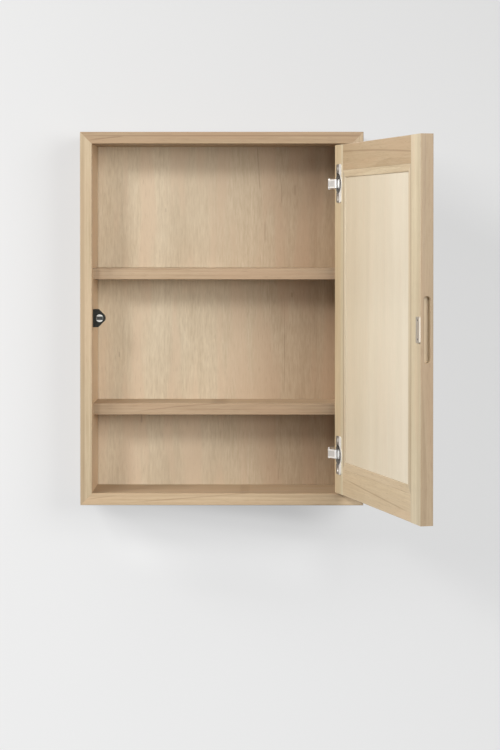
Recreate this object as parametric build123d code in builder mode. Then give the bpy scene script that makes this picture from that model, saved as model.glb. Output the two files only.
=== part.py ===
from build123d import *
from math import atan2, cos, degrees, hypot, radians, sin
import os

# Wall cabinet with an inset mirror door, door standing open.
# Millimetres. +Z up, -Y towards the room, +Y into the wall.
# Origin: middle of the top board's rear edge, on the wall.

# Carcass
width = 455.0
height = 600.0
depth = 135.0
board = 19.0
carcass_arris = 1.2
panel_thickness = 5.0
panel_recess = 6.0
panel_let_in = 6.0
spline_width = 12.0
spline_thickness = 4.0
spline_stop = 16.0
spline_inset = 8.0

# Shelves
shelf_thickness = 18.0
shelf_setback = 26.0
shelf_let_in = 5.0
shelf_arris = 1.0
lower_shelf_height = 143.5
upper_shelf_height = 362.5

# Hanging plates in the rear edges of the sides
hanger_width = 10.0
hanger_length = 35.0
hanger_thickness = 2.0
hanger_drop = 60.0
keyhole_entry_radius = 3.25
keyhole_slot_radius = 1.8
keyhole_slot_rise = 9.0
keyhole_pocket_depth = 9.0
keyhole_pocket_margin = 0.8
hanger_screw_spacing = 29.0
hanger_screw_shank = 1.2
hanger_screw_head = 2.2
hanger_screw_length = 16.0

# Door
door_thickness = 19.0
door_proud = 1.5
hinge_gap = 3.1
free_gap = 2.0
door_end_gap = 3.0
door_arris = 1.0
stile_width = 54.0
rail_width = 52.0
rebate_width = 11.0
lip_thickness = 6.5
mirror_thickness = 4.0
backing_thickness = 5.5
glazing_gap = 0.5
bead_width = 11.5
bead_side_gap = 0.15
bead_arris = 1.2
field_rise = 2.0
field_gap = 0.3
tenon_length = 15.0
tenon_thickness = 6.0
tenon_haunch = 8.0

# Finger pull routed in the door's free edge
pull_length = 95.0
pull_width = 9.6
pull_depth = 9.0
pull_arris = 0.8

# Hinges: pivots in plan, from the side's inner face and the carcass front
opening_angle = 105.0
link_turn = 55.0
arm_pivot_in = 35.4
arm_pivot_back = 12.4
cup_pivot_edge = 6.5
cup_pivot_depth = 5.0
hinge_from_end = 83.5
pin_radius = 1.25
arm_pin_length = 17.6

# Hinge cup
cup_radius = 17.5
cup_wall = 0.8
cup_depth = 13.0
cup_edge = 3.0
flange_width = 22.5
flange_length = 61.0
flange_thickness = 1.6
flange_corner = 3.0
flange_rim = 0.5
flange_edge = 12.5
cup_screw_edge = 21.5
cup_screw_spacing = 48.0
cup_screw_head = 4.0
cup_screw_shank = 1.7
cup_screw_length = 13.0
cup_pin_length = 16.8
cup_ear_gap = 0.3
cup_ear_reach = 2.2
cup_ear_top = 0.5
cup_ear_depth = 7.5

# Hinge link: places along it are measured from the cup's pivot, heights from the line between its pivots
link_height = 14.0
link_neck_height = 9.2
link_neck_end = 0.4
link_thickness = 1.4
link_foot = 0.5
link_crest_start = 1.8
link_crest_end = 21.3
link_crest_rise = 5.2
link_bend = 1.6
link_curl_radius = 1.9
link_recess_margin = 2.6
link_recess_depth = 0.35

# Hinge arm and its mounting plate
arm_ear_radius = 2.0
arm_ear_gap = 0.2
arm_neck_length = 3.0
arm_web = 1.6
arm_wall = 1.1
arm_standoff = 12.2
arm_flange_depth = 7.0
arm_crank_start = 20.5
arm_crank_end = 42.0
arm_rear = 86.0
arm_bend = 5.0
plate_wing_thickness = 2.0
plate_wing_height = 50.0
plate_wing_width = 17.0
plate_wing_corner = 4.0
plate_set_back = 58.0
plate_ridge_start = 45.0
plate_ridge_end = 84.0
plate_hole_spacing = 32.0
plate_screw_head = 3.9
plate_screw_shank = 1.7
plate_screw_length = 15.0
machine_screw_radius = 2.0
machine_screw_head = 3.4
machine_screw_head_height = 1.8
machine_screw_depth = 7.0
adjusting_screw_back = 52.0
fixing_screw_back = 75.0

# Magnetic catch and its strike plate
catch_base = 29.0
catch_base_thickness = 8.5
catch_nose_radius = 7.7
catch_length = 15.0
catch_to_strike = 0.4
catch_corner = 1.0
magnet_radius = 4.2
magnet_length = 8.0
magnet_cup_radius = 6.25
magnet_cup_length = 9.5
magnet_cup_lip = 0.8
magnet_out = 10.7
catch_screw_spacing = 21.0
catch_screw_head = 2.6
catch_screw_shank = 1.3
catch_screw_length = 14.0
strike_length = 37.6
strike_width = 14.5
strike_thickness = 2.0
strike_corner = 2.0
strike_screw_spacing = 27.0
strike_screw_head = 2.8
strike_screw_shank = 1.3
strike_screw_length = 6.0

# Clearances
fit_gap = 0.1
running_gap = 0.05
screw_gap = 0.05

# Places worked out from the sizes above
up = Vector(0, 0, 1)
right = Vector(1, 0, 0)
front_y = -depth
top_z = board / 2
bottom_z = top_z - height
middle_z = (top_z + bottom_z) / 2
inner_bottom_z = bottom_z + board
inner_right_x = width / 2 - board
inner_left_x = -inner_right_x
opening_width = width - 2 * board
opening_height = height - 2 * board
panel_front_y = -(panel_recess + panel_thickness)
door_width = opening_width - hinge_gap - free_gap
door_height = opening_height - 2 * door_end_gap
door_bottom_z = inner_bottom_z + door_end_gap
lip_start = door_thickness - lip_thickness
mirror_start = lip_start - mirror_thickness
bead_thickness = mirror_start - backing_thickness
stile_back = stile_width - rebate_width
rail_back = rail_width - rebate_width
cup_centre = cup_edge + cup_radius
arm_height = link_height + 2 * (arm_ear_gap + arm_wall)
hinge_heights = {"lower": hinge_from_end, "upper": height - hinge_from_end}

# Hinge pivots closed, then open: the link turns one way and the door the other
arm_pivot = Vector(inner_right_x - arm_pivot_in, front_y + arm_pivot_back, 0)
closed_cup_pivot = Vector(
    inner_right_x - hinge_gap - cup_pivot_edge,
    front_y - door_proud + door_thickness - cup_pivot_depth,
    0,
)
link_reach = closed_cup_pivot - arm_pivot
link_length = hypot(link_reach.X, link_reach.Y)
open_link_angle = degrees(atan2(link_reach.Y, link_reach.X)) - link_turn
open_cup_pivot = arm_pivot + Vector(
    link_length * cos(radians(open_link_angle)), link_length * sin(radians(open_link_angle)), 0
)
along_door = Vector(-cos(radians(opening_angle)), -sin(radians(opening_angle)), 0)
through_door = Vector(sin(radians(opening_angle)), -cos(radians(opening_angle)), 0)
door_corner = open_cup_pivot - along_door * cup_pivot_edge - through_door * cup_pivot_depth

# Door frame of reference: x from the hinge edge, y from the back face to the mirror, z up
door_plane = Plane(origin=door_corner + up * door_bottom_z, x_dir=along_door, z_dir=up)


def door_point(across, through, rise):
    """World place of a point given in the door's own frame."""
    return door_plane.from_local_coords(Vector(across, through, rise))


def mitred_bar(label, start, outward, along, length, bar_width, outline, radius, round_outer):
    """Bar of a mitred frame. The outline has x outwards and y towards the viewer."""
    first_tip = start + outward * bar_width
    last_tip = first_tip + along * length
    with BuildPart() as bar:
        with BuildSketch(Plane(origin=start, x_dir=outward, z_dir=along)) as section:
            with BuildLine():
                Polyline(*outline, close=True)
            make_face()
            front_corners = section.vertices().group_by(Axis.Y)[-1].sort_by(Axis.X)
            fillet(front_corners if round_outer else front_corners[:1], radius=radius)
        extrude(amount=length)
        split(bisect_by=Plane(origin=first_tip, z_dir=outward + along), keep=Keep.TOP)
        split(bisect_by=Plane(origin=last_tip, z_dir=outward - along), keep=Keep.TOP)
    bar.part.label = label
    return bar


def mitred_frame(labels, corner, across, frame_width, frame_height, bar_width, outline, radius, round_outer):
    """Four mitred bars: top, bottom, near side, far side. The corner is the lower outer one."""
    top_start = corner + up * (frame_height - bar_width)
    bottom_start = corner + across * frame_width + up * bar_width
    near_start = corner + across * bar_width
    far_start = corner + across * (frame_width - bar_width) + up * frame_height
    runs = (
        (top_start, up, across, frame_width),
        (bottom_start, up * -1, across * -1, frame_width),
        (near_start, across * -1, up, frame_height),
        (far_start, across, up * -1, frame_height),
    )
    return [
        mitred_bar(label, start, outward, along, length, bar_width, outline, radius, round_outer)
        for label, (start, outward, along, length) in zip(labels, runs)
    ]


def screws(planes, head_radius, shank_radius, length, gap=0.0):
    """Countersunk screws, heads flush with their planes, shanks against the planes' normals."""
    head_height = head_radius - shank_radius
    with BuildPart() as group:
        with Locations(*planes):
            Cylinder(shank_radius + gap, length + gap, align=(Align.CENTER, Align.CENTER, Align.MAX))
            Cone(
                shank_radius + gap,
                head_radius + gap,
                head_height,
                align=(Align.CENTER, Align.CENTER, Align.MAX),
            )
    return group


# Mitre tongues
spline_planes = []
for side in (-1, 1):
    for end_z, end_sign in ((top_z, 1), (bottom_z, -1)):
        tongue_x = side * (width / 2 - board + spline_inset)
        tongue_z = end_z - end_sign * (board - spline_inset)
        tongue_start = Vector(tongue_x, front_y + spline_stop, tongue_z)
        spline_planes.append(Plane(origin=tongue_start, x_dir=(side, 0, -end_sign), z_dir=(0, 1, 0)))
spline_length = depth - spline_stop + panel_front_y - spline_stop

with BuildPart() as mitre_splines:
    with BuildSketch(*spline_planes):
        Rectangle(spline_width, spline_thickness)
    extrude(amount=spline_length)
mitre_splines.part.label = "mitre_splines"

with BuildPart() as spline_slots:
    with BuildSketch(*spline_planes):
        Rectangle(spline_width + 2 * fit_gap, spline_thickness + 2 * fit_gap)
    extrude(amount=spline_length + fit_gap)

# Carcass frame
carcass_outline = [
    (panel_let_in, 0),
    (board, 0),
    (board, depth),
    (0, depth),
    (0, -panel_front_y),
    (panel_let_in, -panel_front_y),
]
carcass_corner = Vector(-width / 2, 0, bottom_z)
top_blank, bottom_blank, left_blank, right_blank = mitred_frame(
    ("top_board", "bottom_board", "left_side", "right_side"),
    carcass_corner,
    right,
    width,
    height,
    board,
    carcass_outline,
    carcass_arris,
    True,
)

# Shelves, let into grooves that stop behind their fronts
shelf_length = opening_width + 2 * (shelf_let_in - fit_gap)
shelf_depth = depth - shelf_setback + panel_front_y - fit_gap
shelf_centre_y = front_y + shelf_setback + shelf_depth / 2


def shelf(label, shelf_height):
    """Fixed shelf, its underside at the given height above the cabinet's foot."""
    shelf_z = bottom_z + shelf_height + shelf_thickness / 2
    with BuildPart() as piece:
        with Locations((0, shelf_centre_y, shelf_z)):
            Box(shelf_length, shelf_depth, shelf_thickness)
        fillet(piece.edges().filter_by(Axis.X).group_by(Axis.Y)[0], radius=shelf_arris)
    piece.part.label = label
    return piece


upper_shelf = shelf("upper_shelf", upper_shelf_height)
lower_shelf = shelf("lower_shelf", lower_shelf_height)

with BuildPart() as shelf_grooves:
    for groove_height in (upper_shelf_height, lower_shelf_height):
        with Locations((0, shelf_centre_y, bottom_z + groove_height + shelf_thickness / 2)):
            Box(
                opening_width + 2 * shelf_let_in,
                shelf_depth + 2 * fit_gap,
                shelf_thickness + 2 * fit_gap,
            )

# Back panel
with BuildPart() as back_panel:
    with Locations((0, panel_front_y + panel_thickness / 2, middle_z)):
        Box(
            opening_width + 2 * (panel_let_in - fit_gap),
            panel_thickness,
            opening_height + 2 * (panel_let_in - fit_gap),
        )
back_panel.part.label = "back_panel"

# Hanging plates: keyholes in steel plates, flush in the rear edges of the sides
hanger_x = width / 2 - (board - panel_let_in) / 2
hanger_z = top_z - hanger_drop
hanger_planes = [
    Plane(origin=(side * hanger_x, 0, hanger_z), x_dir=(-1, 0, 0), z_dir=(0, 1, 0)) for side in (-1, 1)
]
hanger_screw_planes = [
    Plane(origin=(side * hanger_x, 0, hanger_z + end * hanger_screw_spacing / 2), z_dir=(0, 1, 0))
    for side in (-1, 1)
    for end in (-1, 1)
]
hanging_screws = screws(hanger_screw_planes, hanger_screw_head, hanger_screw_shank, hanger_screw_length)
hanging_screws.part.label = "hanging_plate_screws"
hanging_screw_holes = screws(
    hanger_screw_planes, hanger_screw_head, hanger_screw_shank, hanger_screw_length, screw_gap
)

with BuildPart() as hanging_plates:
    with BuildSketch(*hanger_planes):
        RectangleRounded(hanger_width, hanger_length, hanger_width / 3)
        with Locations((0, -keyhole_slot_rise / 2)):
            Circle(keyhole_entry_radius, mode=Mode.SUBTRACT)
            with Locations((0, keyhole_slot_rise / 2)):
                SlotOverall(
                    keyhole_slot_rise + 2 * keyhole_slot_radius,
                    2 * keyhole_slot_radius,
                    rotation=90,
                    mode=Mode.SUBTRACT,
                )
    extrude(amount=-hanger_thickness)
    add(hanging_screw_holes.part, mode=Mode.SUBTRACT)
hanging_plates.part.label = "hanging_plates"

with BuildPart() as hanger_pockets:
    with BuildSketch(*hanger_planes):
        RectangleRounded(hanger_width + 2 * fit_gap, hanger_length + 2 * fit_gap, hanger_width / 3)
    extrude(amount=-hanger_thickness)
    with BuildSketch(*hanger_planes):
        SlotOverall(
            keyhole_slot_rise + 2 * (keyhole_entry_radius + keyhole_pocket_margin),
            2 * (keyhole_entry_radius + keyhole_pocket_margin),
            rotation=90,
        )
    extrude(amount=-keyhole_pocket_depth)

# Magnetic catch: triangular housing on the left side, magnet facing the room
catch_front_y = front_y - door_proud + door_thickness + strike_thickness + catch_to_strike
catch_plane = Plane(origin=(inner_left_x, catch_front_y, middle_z), x_dir=(1, 0, 0), z_dir=(0, -1, 0))
catch_screw_planes = [
    Plane(
        origin=(
            inner_left_x + catch_base_thickness,
            catch_front_y + catch_length / 2,
            middle_z + end * catch_screw_spacing / 2,
        ),
        z_dir=(1, 0, 0),
    )
    for end in (-1, 1)
]
catch_screws = screws(catch_screw_planes, catch_screw_head, catch_screw_shank, catch_screw_length)
catch_screws.part.label = "catch_screws"
catch_screw_holes = screws(
    catch_screw_planes, catch_screw_head, catch_screw_shank, catch_screw_length, screw_gap
)

with BuildPart() as catch_housing:
    with BuildSketch(catch_plane) as catch_outline:
        with BuildLine():
            Polyline(
                (0, -catch_base / 2),
                (catch_base_thickness, -catch_base / 2),
                (catch_base_thickness + catch_base / 2, 0),
                (catch_base_thickness, catch_base / 2),
                (0, catch_base / 2),
                close=True,
            )
        make_face()
        fillet(catch_outline.vertices().sort_by(Axis.X)[-1], radius=catch_nose_radius)
        fillet(catch_outline.vertices().group_by(Axis.Y)[0].sort_by(Axis.X)[-1], radius=catch_corner)
        fillet(catch_outline.vertices().group_by(Axis.Y)[-1].sort_by(Axis.X)[-1], radius=catch_corner)
    extrude(amount=-catch_length)
    with BuildSketch(catch_plane):
        with Locations((magnet_out, 0)):
            Circle(magnet_cup_radius + screw_gap)
    extrude(amount=-(magnet_cup_length + fit_gap), mode=Mode.SUBTRACT)
    add(catch_screw_holes.part, mode=Mode.SUBTRACT)
catch_housing.part.label = "catch_housing"

with BuildPart() as catch_magnet_cup:
    with BuildSketch(catch_plane):
        with Locations((magnet_out, 0)):
            Circle(magnet_cup_radius)
    extrude(amount=-magnet_cup_length)
    with BuildSketch(catch_plane):
        with Locations((magnet_out, 0)):
            Circle(magnet_radius + screw_gap)
    extrude(amount=-magnet_length, mode=Mode.SUBTRACT)
    fillet(catch_magnet_cup.faces().sort_by(Axis.Y)[0].edges(), radius=magnet_cup_lip)
catch_magnet_cup.part.label = "catch_magnet_cup"

with BuildPart() as catch_magnet:
    with BuildSketch(catch_plane.offset(-screw_gap)):
        with Locations((magnet_out, 0)):
            Circle(magnet_radius)
    extrude(amount=-(magnet_length - screw_gap))
catch_magnet.part.label = "catch_magnet"

# Mounting plates on the right side
plate_planes = {
    level: Plane(
        origin=(inner_right_x, front_y + plate_set_back, bottom_z + hinge_height),
        x_dir=(0, 1, 0),
        z_dir=(-1, 0, 0),
    )
    for level, hinge_height in hinge_heights.items()
}
plate_screw_planes = [
    Plane(
        origin=(
            inner_right_x - plate_wing_thickness,
            front_y + plate_set_back,
            bottom_z + hinge_height + end * plate_hole_spacing / 2,
        ),
        z_dir=(-1, 0, 0),
    )
    for hinge_height in hinge_heights.values()
    for end in (-1, 1)
]
plate_screws = screws(plate_screw_planes, plate_screw_head, plate_screw_shank, plate_screw_length)
plate_screws.part.label = "mounting_plate_screws"
plate_screw_holes = screws(
    plate_screw_planes, plate_screw_head, plate_screw_shank, plate_screw_length, screw_gap
)
ridge_height = arm_height - 2 * arm_wall - 2 * fit_gap
ridge_rise = arm_standoff - arm_web / 2 - fit_gap


def machine_screws(label, back):
    """Two pan-headed screws, one for each hinge, through the arm's web into the ridge."""
    planes = [
        Plane(
            origin=(inner_right_x - arm_standoff - arm_web / 2, front_y + back, bottom_z + hinge_height),
            z_dir=(-1, 0, 0),
        )
        for hinge_height in hinge_heights.values()
    ]
    with BuildPart() as group:
        with Locations(*planes):
            Cylinder(
                machine_screw_radius,
                machine_screw_depth,
                align=(Align.CENTER, Align.CENTER, Align.MAX),
            )
            Cylinder(
                machine_screw_head,
                machine_screw_head_height,
                align=(Align.CENTER, Align.CENTER, Align.MIN),
            )
    group.part.label = label
    return group


def mounting_plate(level):
    """Winged plate with the raised ridge that the hinge arm slides over."""
    with BuildPart() as plate:
        with BuildSketch(plate_planes[level]):
            RectangleRounded(plate_wing_width, plate_wing_height, plate_wing_corner)
        extrude(amount=plate_wing_thickness)
        with BuildSketch(plate_planes[level]):
            with Locations(((plate_ridge_start + plate_ridge_end) / 2 - plate_set_back, 0)):
                Rectangle(plate_ridge_end - plate_ridge_start, ridge_height)
        extrude(amount=ridge_rise)
        with BuildSketch(plate_planes[level].offset(ridge_rise)):
            with Locations(
                (adjusting_screw_back - plate_set_back, 0), (fixing_screw_back - plate_set_back, 0)
            ):
                Circle(machine_screw_radius + screw_gap)
        extrude(amount=-machine_screw_depth, mode=Mode.SUBTRACT)
        add(plate_screw_holes.part, mode=Mode.SUBTRACT)
    plate.part.label = f"{level}_mounting_plate"
    return plate


def hinge_plan_point(inward, back):
    """Point of a hinge in plan, from the side's inner face and the carcass front."""
    return (inner_right_x - inward, front_y + back)


def hinge_arm(level):
    """Cranked arm: a channel over the ridge whose walls run on to two ears at the pivot."""
    arm_z = bottom_z + hinge_heights[level]
    rear = hinge_plan_point(arm_standoff, arm_rear)
    crank_end = hinge_plan_point(arm_standoff, arm_crank_end)
    crank_start = hinge_plan_point(arm_pivot_in, arm_crank_start)
    web_start = hinge_plan_point(arm_pivot_in, arm_pivot_back + arm_neck_length)
    with BuildPart() as arm:
        with BuildSketch(Plane.XY.offset(arm_z - arm_height / 2)):
            with BuildLine():
                FilletPolyline(web_start, crank_start, crank_end, rear, radius=arm_bend)
            trace(line_width=arm_web)
        extrude(amount=arm_height)
        with BuildSketch(Plane.XY.offset(arm_z - arm_height / 2)):
            with BuildLine():
                Polyline(
                    hinge_plan_point(arm_pivot_in + arm_ear_radius, arm_pivot_back),
                    web_start,
                    crank_start,
                    crank_end,
                    rear,
                    hinge_plan_point(arm_standoff - arm_flange_depth, arm_rear),
                    hinge_plan_point(arm_standoff - arm_flange_depth, arm_crank_end),
                    hinge_plan_point(arm_pivot_in - arm_ear_radius, arm_pivot_back),
                    close=True,
                )
            make_face()
            with Locations((arm_pivot.X, arm_pivot.Y)):
                Circle(arm_ear_radius)
        extrude(amount=arm_wall)
        mirror(about=Plane.XY.offset(arm_z))
        with Locations((arm_pivot.X, arm_pivot.Y, arm_z)):
            Cylinder(pin_radius, 2 * arm_height, mode=Mode.SUBTRACT)
        for back in (adjusting_screw_back, fixing_screw_back):
            with Locations(Plane(origin=(*hinge_plan_point(arm_standoff, back), arm_z), z_dir=(-1, 0, 0))):
                Cylinder(machine_screw_radius + screw_gap, 2 * arm_web, mode=Mode.SUBTRACT)
    arm.part.label = f"{level}_hinge_arm"
    return arm


def hinge_pin(label, centre, pin_length, hinge_height):
    """Upright pivot pin."""
    with BuildPart() as pin:
        with Locations((centre.X, centre.Y, bottom_z + hinge_height)):
            Cylinder(pin_radius, pin_length)
    pin.part.label = label
    return pin


def hinge_link(level):
    """Stamped link: a bridge-shaped web with a coined recess and a curl round each pin."""
    link_z = bottom_z + hinge_heights[level]
    towards_arm = (arm_pivot - open_cup_pivot).normalized()
    link_plane = Plane(origin=open_cup_pivot + up * link_z, x_dir=towards_arm, z_dir=(0, 0, 1))
    foot_rise = link_curl_radius - link_thickness / 2
    crest_length = link_crest_end - link_crest_start
    with BuildPart(link_plane) as link:
        with BuildSketch(link_plane.offset(-link_height / 2)):
            with BuildLine():
                FilletPolyline(
                    (link_foot, foot_rise),
                    (link_crest_start, link_crest_rise),
                    (link_crest_end, link_crest_rise),
                    (link_length, foot_rise),
                    radius=link_bend,
                )
            trace(line_width=link_thickness)
            with Locations((link_length, 0)):
                Circle(link_curl_radius)
        extrude(amount=link_height)
        with Locations((link_crest_start + crest_length / 2, link_crest_rise + link_thickness / 2, 0)):
            Box(
                crest_length - 2 * link_recess_margin,
                2 * link_recess_depth,
                link_height - 2 * link_recess_margin,
                mode=Mode.SUBTRACT,
            )
        for side in (-1, 1):
            with Locations((link_neck_end, 0, side * link_neck_height / 2)):
                Box(
                    link_height,
                    link_height,
                    link_height,
                    align=(Align.MAX, Align.CENTER, Align.MAX if side < 0 else Align.MIN),
                    mode=Mode.SUBTRACT,
                )
        Cylinder(link_curl_radius, link_neck_height)
        with Locations((0, 0, 0), (link_length, 0, 0)):
            Cylinder(pin_radius + running_gap, 2 * link_height, mode=Mode.SUBTRACT)
    link.part.label = f"{level}_hinge_link"
    return link


# Cups and what holds them, placed from the door's back face
cup_rises = {
    level: bottom_z + hinge_height - door_bottom_z for level, hinge_height in hinge_heights.items()
}
cup_planes = {
    level: Plane(origin=door_point(cup_centre, 0, rise), x_dir=along_door, z_dir=through_door)
    for level, rise in cup_rises.items()
}
flange_centre = flange_edge + flange_width / 2
cup_screw_planes = [
    Plane(
        origin=door_point(cup_screw_edge, -flange_thickness, rise + end * cup_screw_spacing / 2),
        z_dir=through_door * -1,
    )
    for rise in cup_rises.values()
    for end in (-1, 1)
]
cup_screws = screws(cup_screw_planes, cup_screw_head, cup_screw_shank, cup_screw_length)
cup_screws.part.label = "cup_screws"
cup_screw_holes = screws(cup_screw_planes, cup_screw_head, cup_screw_shank, cup_screw_length, screw_gap)


def hinge_cup(level):
    """Drawn cup with the flange that is screwed to the door's back face."""
    ear_inner = link_height / 2 + cup_ear_gap
    with BuildPart() as cup:
        with BuildSketch(cup_planes[level]):
            Circle(cup_radius)
        extrude(amount=cup_depth)
        with BuildSketch(cup_planes[level].offset(-flange_thickness)):
            Circle(cup_radius + flange_rim)
            with Locations((flange_centre - cup_centre, 0)):
                RectangleRounded(flange_width, flange_length, flange_corner)
            with Locations((flange_edge - cup_centre, 0)):
                Rectangle(
                    flange_width,
                    2 * flange_length,
                    align=(Align.MAX, Align.CENTER),
                    mode=Mode.SUBTRACT,
                )
        extrude(amount=flange_thickness)
        with BuildSketch(cup_planes[level].offset(-flange_thickness)):
            Circle(cup_radius - cup_wall)
        extrude(amount=flange_thickness + cup_depth - cup_wall, mode=Mode.SUBTRACT)
        with BuildSketch(cup_planes[level].offset(cup_ear_top)):
            Circle(cup_radius)
            with Locations((cup_pivot_edge + cup_ear_reach - cup_centre, 0)):
                Rectangle(
                    2 * cup_radius,
                    2 * cup_radius,
                    align=(Align.MAX, Align.CENTER),
                    mode=Mode.INTERSECT,
                )
            Rectangle(4 * cup_radius, 2 * ear_inner, mode=Mode.SUBTRACT)
        extrude(amount=cup_ear_depth)
        with Locations(door_point(cup_pivot_edge, cup_pivot_depth, cup_rises[level])):
            Cylinder(pin_radius, cup_pin_length, mode=Mode.SUBTRACT)
        add(cup_screw_holes.part, mode=Mode.SUBTRACT)
    cup.part.label = f"{level}_hinge_cup"
    return cup


# Mirror door: frame
stile_outline = [
    (0, 0),
    (stile_back, 0),
    (stile_back, lip_start),
    (stile_width, lip_start),
    (stile_width, door_thickness),
    (0, door_thickness),
]
tenon_rise = rail_back - tenon_haunch
tenon_through = lip_start / 2


def tenon_boxes(gap):
    """Places and sizes of the four tenons, or of their mortises when the gap isn't nought."""
    boxes = []
    for across in (stile_back - tenon_length / 2, door_width - stile_back + tenon_length / 2):
        for rise in (tenon_haunch + tenon_rise / 2, door_height - tenon_haunch - tenon_rise / 2):
            boxes.append((across, tenon_through, rise))
    size = (tenon_length + 2 * gap, tenon_thickness + 2 * gap, tenon_rise + 2 * gap)
    return boxes, size


def stile(label, mirrored):
    """Upright of the door with the rebate for the mirror and two mortises."""
    outline = [
        (door_width - across, through) if mirrored else (across, through)
        for across, through in stile_outline
    ]
    edge = -1 if mirrored else 0
    places, size = tenon_boxes(fit_gap)
    with BuildPart(door_plane) as piece:
        with BuildSketch(door_plane) as section:
            with BuildLine():
                Polyline(*outline, close=True)
            make_face()
            fillet(section.vertices().group_by(Axis.X)[edge], radius=door_arris)
        extrude(amount=door_height)
        with Locations(*places):
            Box(*size, mode=Mode.SUBTRACT)
    piece.part.label = label
    return piece


def rail(label, rise, upside_down):
    """Rail with long and short shoulders and a tenon at each end."""
    outline = [
        (0, 0),
        (door_thickness, 0),
        (door_thickness, rail_width),
        (lip_start, rail_width),
        (lip_start, rail_back),
        (0, rail_back),
    ]
    if upside_down:
        outline = [(through, -up_door) for through, up_door in outline]
    edge = -1 if upside_down else 0
    rail_plane = Plane(origin=door_point(stile_back, 0, rise), x_dir=through_door, z_dir=along_door)
    places, size = tenon_boxes(0.0)
    own_places = [place for place in places if (place[2] > door_height / 2) == upside_down]
    with BuildPart(door_plane) as piece:
        with BuildSketch(rail_plane) as section:
            with BuildLine():
                Polyline(*outline, close=True)
            make_face()
            fillet(section.vertices().group_by(Axis.Y)[edge], radius=door_arris)
        extrude(amount=door_width - 2 * stile_back)
        for across in (stile_back + rebate_width / 2, door_width - stile_back - rebate_width / 2):
            with Locations((across, lip_start + lip_thickness / 2, rise)):
                Box(rebate_width, lip_thickness, 4 * rail_width, mode=Mode.SUBTRACT)
        with Locations(*own_places):
            Box(*size)
    piece.part.label = label
    return piece


top_rail = rail("top_rail", door_height, True)
bottom_rail = rail("bottom_rail", 0, False)
hinge_stile_blank = stile("hinge_stile", False)
free_stile_blank = stile("free_stile", True)

# Strike plate on the free stile, opposite the magnet
strike_centre = door_width + free_gap - magnet_out
strike_plane = Plane(
    origin=door_point(strike_centre, 0, door_height / 2),
    x_dir=along_door * -1,
    z_dir=through_door * -1,
)
strike_screw_rises = [door_height / 2 + end * strike_screw_spacing / 2 for end in (-1, 1)]
strike_screw_planes = [
    Plane(origin=door_point(strike_centre, -strike_thickness, rise), z_dir=through_door * -1)
    for rise in strike_screw_rises
]
strike_screws = screws(strike_screw_planes, strike_screw_head, strike_screw_shank, strike_screw_length)
strike_screws.part.label = "strike_plate_screws"
strike_screw_holes = screws(
    strike_screw_planes, strike_screw_head, strike_screw_shank, strike_screw_length, screw_gap
)

with BuildPart() as strike_plate:
    with BuildSketch(strike_plane):
        RectangleRounded(strike_width, strike_length, strike_corner)
    extrude(amount=strike_thickness)
    add(strike_screw_holes.part, mode=Mode.SUBTRACT)
strike_plate.part.label = "strike_plate"

# Stiles finished: cup bores on one, finger pull and strike screws on the other
with BuildPart() as hinge_stile:
    add(hinge_stile_blank.part)
    with BuildSketch(*cup_planes.values()):
        Circle(cup_radius + screw_gap)
    extrude(amount=cup_depth + fit_gap, mode=Mode.SUBTRACT)
    add(cup_screw_holes.part, mode=Mode.SUBTRACT)
hinge_stile.part.label = "hinge_stile"

pull_plane = Plane(
    origin=door_point(door_width, door_thickness / 2, door_height / 2),
    x_dir=(0, 0, 1),
    z_dir=along_door,
)
with BuildPart() as free_stile:
    add(free_stile_blank.part)
    with BuildSketch(pull_plane):
        SlotOverall(pull_length, pull_width)
    extrude(amount=-pull_depth, mode=Mode.SUBTRACT)
    free_edge = free_stile.faces().sort_by(Axis(door_corner, along_door))[-1]
    chamfer(free_edge.inner_wires()[0].edges(), length=pull_arris)
    add(strike_screw_holes.part, mode=Mode.SUBTRACT)
free_stile.part.label = "free_stile"

# Mirror, backing panel and beads
glazing_width = door_width - 2 * (stile_back + glazing_gap)
glazing_height = door_height - 2 * (rail_back + glazing_gap)
field_inset = bead_side_gap + bead_width + field_gap

with BuildPart(door_plane) as mirror_glass:
    with Locations((door_width / 2, lip_start - mirror_thickness / 2, door_height / 2)):
        Box(glazing_width, mirror_thickness, glazing_height)
mirror_glass.part.label = "mirror_glass"

with BuildPart(door_plane) as backing_panel:
    with Locations((door_width / 2, mirror_start - backing_thickness / 2, door_height / 2)):
        Box(glazing_width, backing_thickness, glazing_height)
    with Locations((door_width / 2, bead_thickness - field_rise / 2, door_height / 2)):
        Box(
            door_width - 2 * (stile_back + field_inset),
            field_rise,
            door_height - 2 * (rail_back + field_inset),
        )
backing_panel.part.label = "backing_panel"

bead_outline = [(0, 0), (bead_width, 0), (bead_width, bead_thickness), (0, bead_thickness)]
beads = mitred_frame(
    ("top_bead", "bottom_bead", "hinge_side_bead", "free_side_bead"),
    door_point(stile_back + bead_side_gap, bead_thickness, rail_back + bead_side_gap),
    along_door,
    door_width - 2 * (stile_back + bead_side_gap),
    door_height - 2 * (rail_back + bead_side_gap),
    bead_width,
    bead_outline,
    bead_arris,
    False,
)

# Carcass boards finished: grooves, tongue slots, pockets and screw holes
with BuildPart() as top_board:
    add(top_blank.part)
    add(spline_slots.part, mode=Mode.SUBTRACT)
top_board.part.label = "top_board"

with BuildPart() as bottom_board:
    add(bottom_blank.part)
    add(spline_slots.part, mode=Mode.SUBTRACT)
bottom_board.part.label = "bottom_board"

with BuildPart() as left_side:
    add(left_blank.part)
    for cutter in (spline_slots, shelf_grooves, hanger_pockets, hanging_screw_holes, catch_screw_holes):
        add(cutter.part, mode=Mode.SUBTRACT)
left_side.part.label = "left_side"

with BuildPart() as right_side:
    add(right_blank.part)
    for cutter in (spline_slots, shelf_grooves, hanger_pockets, hanging_screw_holes, plate_screw_holes):
        add(cutter.part, mode=Mode.SUBTRACT)
right_side.part.label = "right_side"

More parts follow.
